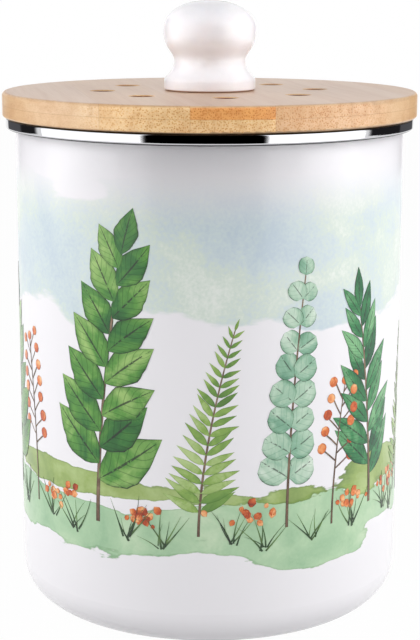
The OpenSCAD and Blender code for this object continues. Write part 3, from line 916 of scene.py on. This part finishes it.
# the fired print: sprigs painted flat, x round the wall from its front and y up it, in mm
printSheet = {
    "wallRadius": 79.75,
    "repeats": 2,
    "seed": 4,
    "firstLift": 0.03,
    "layerLift": 0.016,
    "layers": 9,
    "thickness": 0.1,
    "finest": 0.03,  # half the width that the thinnest end of a stroke keeps
    "bows": (-2.5, 0.5, 2.5),  # how far a stroke's tip is drawn aside, times its own share
    "bowPower": 1.7,
    "wobbles": 16,  # places along a leaf's edge where the hand strays a little
    "strokes": {  # grid: columns along a stroke and rows across it
        "broadLeaf": {"length": 30, "width": 16, "grid": (13, 4), "bow": 1, "widest": 0.82, "wobble": 0.07},
        "lanceLeaf": {"length": 27, "width": 9, "grid": (12, 4), "bow": 1, "widest": 0.85, "wobble": 0.05},
        "roundLeaf": {"length": 13, "width": 12.8, "grid": (8, 4), "bow": 1 / 3, "roundness": 0.9},
        "fern": {"length": 17, "width": 4.2, "grid": (7, 2), "bow": 1 / 2, "widest": 0.7, "wobble": 0.06},
        "berry": {"length": 5.2, "width": 5.2, "grid": (6, 4), "roundness": 1},
        "grass": {"length": 15, "width": 0.84, "grid": (5, 1), "bow": 1.6, "taper": 1},
        "stalk": {"length": 7.4, "width": 0.6, "grid": (3, 1), "bow": 1 / 4, "taper": 0},
        "dab": {"length": 3.4, "width": 2.9, "grid": (5, 2), "widest": 0.9, "wobble": 0.2},
    },
    "stemTaper": 0.6,
    "stemStep": 4,
    "closing": 0.35,  # how much the leaves close up towards a sprig's tip
    "lastLeaf": 0.99,  # how far up the stem the leaf at its tip is set
    "turnError": 5,  # degrees
    "sizeError": 0.07,
    "toneError": 0.1,
    "sprigs": [
        {"kind": "broadLeaf", "root": (-46, 50), "height": 108, "lean": 12, "stemWidth": 1.8, "leaves": 14,
         "first": 0.16, "spread": 56, "sizes": (1.12, 0.62)},
        {"kind": "fern", "root": (-4, 48), "height": 82, "lean": 14, "stemWidth": 1.1, "leaves": 19,
         "first": 0.12, "spread": 66, "sizes": (1.05, 0.28), "opposite": True},
        {"kind": "roundLeaf", "root": (31, 50), "height": 100, "lean": 7, "stemWidth": 1.2, "leaves": 8,
         "first": 0.2, "spread": 62, "sizes": (1.1, 0.55), "opposite": True},
        {"kind": "lanceLeaf", "root": (75, 52), "height": 82, "lean": -9, "stemWidth": 1.6, "leaves": 16,
         "first": 0.14, "spread": 48, "sizes": (1.1, 0.6)},
        {"kind": "berry", "root": (52, 48), "height": 56, "lean": 6, "stemWidth": 0.9, "leaves": 11,
         "first": 0.4, "spread": 60, "sizes": (1.0, 0.75), "stalk": 7},
        {"kind": "berry", "root": (-84, 50), "height": 66, "lean": -7, "stemWidth": 0.9, "leaves": 13,
         "first": 0.36, "spread": 60, "sizes": (1.0, 0.75), "stalk": 7},
        {"kind": "fern", "root": (104, 49), "height": 66, "lean": 12, "stemWidth": 1.0, "leaves": 16,
         "first": 0.12, "spread": 66, "sizes": (0.85, 0.26), "opposite": True},
        {"kind": "broadLeaf", "root": (-112, 50), "height": 76, "lean": -4, "stemWidth": 1.5, "leaves": 10,
         "first": 0.18, "spread": 56, "sizes": (0.95, 0.6)},
    ],
    "tufts": [(-72, 47), (-58, 44), (-33, 45), (-18, 43), (10, 45), (22, 42), (43, 44), (63, 45), (88, 46),
              (97, 43), (118, 46), (-98, 46), (-122, 44)],
    "blades": 7,
    "bladeFan": 15,  # degrees from one blade of a tuft to the next
    "bladeScatter": (2, 1),
    "bladeSizes": (0.55, 1.15),
    "bladeToneError": 0.15,
    "dabs": [(14, 56, 13, 4), (62, 57, 10, 4), (-66, 58, 11, 4), (-27, 54, 8, 3), (95, 58, 12, 4)],
    "dabCount": 16,
    "dabSizes": (0.6, 1.2),
    "dabToneError": 0.22,
}


# half the width of a stroke at each share of its length: of a leaf, a round or a tapering one
def strokeOutline(stroke, draw):
    half = stroke["width"] / 2
    if "widest" in stroke:
        wobble, last = stroke["wobble"], printSheet["wobbles"] - 1
        uneven = [draw.uniform(1 - wobble, 1 + wobble) for i in range(printSheet["wobbles"])]
        return lambda share: half * math.sin(math.pi * share ** stroke["widest"]) * uneven[int(share * last)]
    if "roundness" in stroke:
        return lambda share: half * math.sqrt(max(1 - (2 * share - 1) ** 2, 0)) ** stroke["roundness"]
    return lambda share: half * (1 - stroke["taper"] * share)


# a stroke lying flat from its stalk along +X: a grid whose columns are spread to the outline
def paintStroke(stroke, bow, draw):
    deselectAll()
    length, (columns, rows), halfWidth = stroke["length"], stroke["grid"], strokeOutline(stroke, draw)
    bpy.ops.mesh.primitive_grid_add(x_subdivisions=columns, y_subdivisions=rows, size=2 * mm)
    shape = bpy.context.object
    bpy.ops.object.mode_set(mode="EDIT")
    bpy.ops.transform.resize(value=(length / 2, 1, 1))
    bpy.ops.transform.translate(value=(length / 2 * mm, 0, 0))
    step = length / columns
    for column in range(columns + 1):
        share = column / columns
        pickVertices(shape, lambda place: abs(place.x - column * step) < step / 4)
        bpy.ops.transform.resize(value=(1, max(halfWidth(share), printSheet["finest"]), 1),
                                 center_override=(0, 0, 0))
        bpy.ops.transform.translate(value=(0, bow * share ** printSheet["bowPower"] * mm, 0))
    bpy.ops.object.mode_set(mode="OBJECT")
    return shape


# joins the laid shapes of one colour, stands the sheet up, repeats it and rolls it round the wall
def rollPrint(shapes, name, material):
    deselectAll()
    for shape in shapes:
        shape.select_set(True)
    bpy.context.view_layer.objects.active = shapes[0]
    bpy.ops.object.join()
    sheet = bpy.context.object
    bpy.ops.object.transform_apply(location=True, rotation=True, scale=True)
    sheet.rotation_euler.x = math.radians(90)
    bpy.ops.object.transform_apply(rotation=True)
    radius = printSheet["wallRadius"] * mm
    panel = 2 * math.pi * radius / printSheet["repeats"]
    edges = [vertex.co.x for vertex in sheet.data.vertices]
    reach = max(edges) - min(edges) + panel * (printSheet["repeats"] - 1)
    copies = sheet.modifiers.new("repeat", "ARRAY")
    copies.count = printSheet["repeats"]
    copies.use_relative_offset = False
    copies.use_constant_offset = True
    copies.constant_offset_displace = (panel, 0, 0)
    roll = sheet.modifiers.new("roll", "SIMPLE_DEFORM")
    roll.deform_method = "BEND"
    roll.deform_axis = "Z"
    roll.angle = reach / radius
    body = sheet.modifiers.new("body", "SOLIDIFY")
    body.thickness = printSheet["thickness"] * mm
    applyModifiers(sheet)
    sheet.location.y = -radius
    finishPiece(sheet, name, "bin", material)


def printSprigs():
    draw = random.Random(printSheet["seed"])
    laid = {kind: [] for kind in pigments}
    templates = {}
    for kind, stroke in printSheet["strokes"].items():
        bows = [bow * stroke["bow"] for bow in printSheet["bows"]] if "bow" in stroke else [0]
        templates[kind] = [paintStroke(stroke, bow, draw) for bow in bows]

    def near(error):
        return draw.uniform(-error, error)

    def setDown(colour, kind, place, turn, size, tone):
        template = draw.choice(templates[kind])
        shape = template.copy()
        shape.data = template.data.copy()
        bpy.context.collection.objects.link(shape)
        lift = printSheet["firstLift"] + printSheet["layerLift"] * (len(laid[colour]) % printSheet["layers"])
        shape.location = Vector((place[0], place[1], lift)) * mm
        shape.rotation_euler.z = math.radians(turn)
        shape.scale = (size, size, 1)
        values = shape.data.attributes.new("tone", "FLOAT", "POINT")
        values.data.foreach_set("value", [tone] * len(shape.data.vertices))
        laid[colour].append(shape)

    bend = printSheet["bowPower"]
    for sprig in printSheet["sprigs"]:
        kind, root, height, lean = sprig["kind"], sprig["root"], sprig["height"], sprig["lean"]
        first, (bottomSize, topSize) = sprig["first"], sprig["sizes"]

        def pointAt(share):
            return root[0] + lean * share ** bend, root[1] + height * share

        def headingAt(share):
            return math.degrees(math.atan2(height, lean * bend * share ** (bend - 1)))

        stem = {"length": height, "width": sprig["stemWidth"], "taper": printSheet["stemTaper"],
                "grid": (int(height / printSheet["stemStep"]), 1)}
        templates["thisStem"] = [paintStroke(stem, -lean, draw)]
        setDown("stem", "thisStem", root, 90, 1, 0)
        bpy.data.objects.remove(templates.pop("thisStem")[0])
        for i in range(sprig["leaves"]):
            share = first + (1 - first) * i / sprig["leaves"]
            size = bottomSize + (topSize - bottomSize) * share
            sides = (-1, 1) if "opposite" in sprig else ((-1, 1)[i % 2],)
            for side in sides:
                turn = headingAt(share) + side * sprig["spread"] * (1 - printSheet["closing"] * share)
                turn += near(printSheet["turnError"])
                x, y = pointAt(share)
                if "stalk" in sprig:
                    setDown("stem", "stalk", (x, y), turn, 1, 0)
                    x += sprig["stalk"] * math.cos(math.radians(turn))
                    y += sprig["stalk"] * math.sin(math.radians(turn))
                setDown(kind, kind, (x, y), turn, size * (1 + near(printSheet["sizeError"])),
                        near(printSheet["toneError"]))
        setDown(kind, kind, pointAt(printSheet["lastLeaf"]), headingAt(1), topSize, 0)

    blades, (aside, up) = printSheet["blades"], printSheet["bladeScatter"]
    for x, y in printSheet["tufts"]:
        for i in range(blades):
            turn = 90 + (i - blades / 2 + 0.5) * printSheet["bladeFan"] + near(printSheet["turnError"])
            setDown("grass", "grass", (x + near(aside), y + near(up)), turn,
                    draw.uniform(*printSheet["bladeSizes"]), near(printSheet["bladeToneError"]))
    for x, y, wide, high in printSheet["dabs"]:
        for i in range(printSheet["dabCount"]):
            setDown("berry", "dab", (draw.gauss(x, wide / 2), draw.gauss(y, high / 2)), draw.uniform(0, 360),
                    draw.uniform(*printSheet["dabSizes"]), near(printSheet["dabToneError"]))

    for template in sum(templates.values(), []):
        bpy.data.objects.remove(template)
    for kind, shapes in laid.items():
        title = kind[0].upper() + kind[1:]
        rollPrint(shapes, "print" + title, firedPrint("firedPrint" + title, pigments[kind]))
        print(kind, "printed from", len(shapes), "shapes")


# in metres, watts and degrees
studio = {
    "floorSize": 6,
    "floorDrop": 0.0002,
    "floorTone": "#c4c4c4",
    "floorWhite": 0.985,  # share of white to the camera, and the rest takes the shadow
    "ambient": 0.04,
    "boxes": [  # turn from the camera, width, power, whether gloss shows it
        ("sideBox", -69, 1.10, 2.4, True),
        ("sideBox", 61, 0.98, 3.0, True),
        ("wingBox", -94, 0.9, 8.5, False),
        ("wingBox", 94, 0.9, 8.5, False),
    ],
    "boxHeight": 1.0,
    "boxDistance": 0.85,
    "boxMiddle": 0.42,
    "lamps": [  # place, size, power, aim, spread of the light; gloss shows none of them
        ("frontBox", (0, -0.7, 0.7), (0.9, 0.5), 3.5, (0, -0.05, 0.17), 180),
        ("knobBox", (0, -0.8, 0.36), (0.16, 0.05), 0.0045, (0, 0, 0.228), 8),
        ("lowFill", (0, -0.3, 0.045), (0.5, 0.08), 0.08, (0, 0, 0.045), 180),
    ],
    "flagPlace": (-0.004, -0.0895, 0.203),  # holds the front lamp off the wall under the rim
    "flagSize": (0.09, 0.031),
    "cardDistance": 0.8,
    "cards": [  # turn from the camera, width, foot, height, tone
        (-2.5, 1.07, 0, 1.1, "#000000"),
        (-115, 0.32, 0.09, 0.5, "#242325"),
        (112, 0.58, 0.09, 0.5, "#242325"),
        (-135, 0.46, 0.09, 0.5, "#58585b"),
        (140, 0.46, 0.09, 0.5, "#58585b"),
    ],
    "cardFade": 0.06,  # over which a card's upright edges thin out
}


def addSoftbox(name, place, size, power, aim, spread=180, inGloss=False):
    bpy.ops.object.light_add(type="AREA", location=place)
    lamp = bpy.context.object
    lamp.name = name
    lamp.data.shape = "RECTANGLE"
    lamp.data.size, lamp.data.size_y = size
    lamp.data.energy = power
    lamp.data.spread = math.radians(spread)
    lamp.rotation_euler = (Vector(aim) - Vector(place)).to_track_quat("-Z", "Y").to_euler()
    lamp.visible_glossy = inGloss


def roundAt(azimuth, distance, height):
    angle = math.radians(azimuth)
    return distance * math.sin(angle), -distance * math.cos(angle), height


# a plane that the kinds of ray named pass through
def addPlane(name, place, size, turn, passing):
    bpy.ops.mesh.primitive_plane_add(size=1, location=place, rotation=turn)
    plane = bpy.context.object
    plane.name = name
    plane.scale = (*size, 1)
    for rays in passing:
        setattr(plane, "visible_" + rays, False)
    return plane


# a card that only the gloss of enamel and steel shows
def addCard(azimuth, width, foot, height, tone):
    card = addPlane("glossCard", roundAt(azimuth, studio["cardDistance"], foot + height / 2), (width, height),
                    (math.radians(90), 0, math.radians(azimuth)),
                    ("camera", "diffuse", "transmission", "volume_scatter", "shadow"))
    cloth, tree = newMaterial("cardCloth")
    shader = addNode(tree, "Emission", {"Color": linear(tone)})
    clear = addNode(tree, "BsdfTransparent")
    place = addNode(tree, "TexCoord")
    uv = addNode(tree, "SeparateXYZ", links={0: place.outputs["UV"]})
    inset = addNode(tree, "Math", {"operation": "PINGPONG", 1: 0.5}, {0: uv.outputs["X"]})
    share = addNode(tree, "MapRange", {"interpolation_type": "SMOOTHSTEP", "From": (
        0, studio["cardFade"] / width)}, {"Value": inset})
    mixed = addNode(tree, "MixShader", links={0: share, 1: clear, 2: shader})
    addNode(tree, "OutputMaterial", links={0: mixed})
    wear(card, cloth)


# 1 for the kinds of ray named, and 0 for the rest
def addSeen(tree, names):
    rays = addNode(tree, "LightPath")
    seen = rays.outputs[names[0]]
    for name in names[1:]:
        seen = addNode(tree, "Math", {"operation": "MAXIMUM"}, {0: seen, 1: rays.outputs[name]})
    return seen


def makeStudio():
    middle = studio["boxMiddle"]
    for name, azimuth, width, power, inGloss in studio["boxes"]:
        place = roundAt(azimuth, studio["boxDistance"], middle)
        addSoftbox(name, place, (width, studio["boxHeight"]), power, (0, 0, middle), inGloss=inGloss)
    for lamp in studio["lamps"]:
        addSoftbox(*lamp)
    for card in studio["cards"]:
        addCard(*card)
    flag = addPlane("shadeFlag", studio["flagPlace"], studio["flagSize"], (0, 0, 0),
                    ("camera", "diffuse", "glossy", "transmission", "volume_scatter"))

    # pale floor: white to the camera, with a trace of the shadow that falls on it
    bpy.ops.mesh.primitive_plane_add(size=studio["floorSize"], location=(0, 0, -studio["floorDrop"]))
    floor = bpy.context.object
    floor.name = "floor"
    paper, tree = newMaterial("paleFloor")
    seen = addSeen(tree, ["Is Camera Ray", "Is Glossy Ray"])
    matt = addNode(tree, "BsdfDiffuse", {"Color": linear(studio["floorTone"])})
    white = addNode(tree, "Emission", {"Color": (1, 1, 1, 1), "Strength": 1})
    share = addNode(tree, "Math", {"operation": "MULTIPLY", 1: studio["floorWhite"]}, {0: seen})
    mixed = addNode(tree, "MixShader", links={0: share, 1: matt, 2: white})
    addNode(tree, "OutputMaterial", links={0: mixed})
    wear(floor, paper)

    world = bpy.data.worlds.new("studio")
    bpy.context.scene.world = world
    world.use_nodes = True
    tree = world.node_tree
    tree.nodes.clear()
    seen = addSeen(tree, ["Is Camera Ray", "Is Glossy Ray", "Is Transmission Ray"])
    strength = addNode(tree, "MapRange", {"To": (studio["ambient"], 1)}, {"Value": seen})
    sky = addNode(tree, "Background", {"Color": (1, 1, 1, 1)}, {"Strength": strength})
    addNode(tree, "OutputWorld", links={0: sky})
    bpy.context.scene.view_settings.view_transform = "Standard"


setCamera()
makeStudio()
print("studio set")
dressCanister()
dressBamboo()
print("materials on the nodes")
makeRimBand()
makeKnob()
makeFilterPad()
makeLidSeal()
makeFittings()
printSprigs()
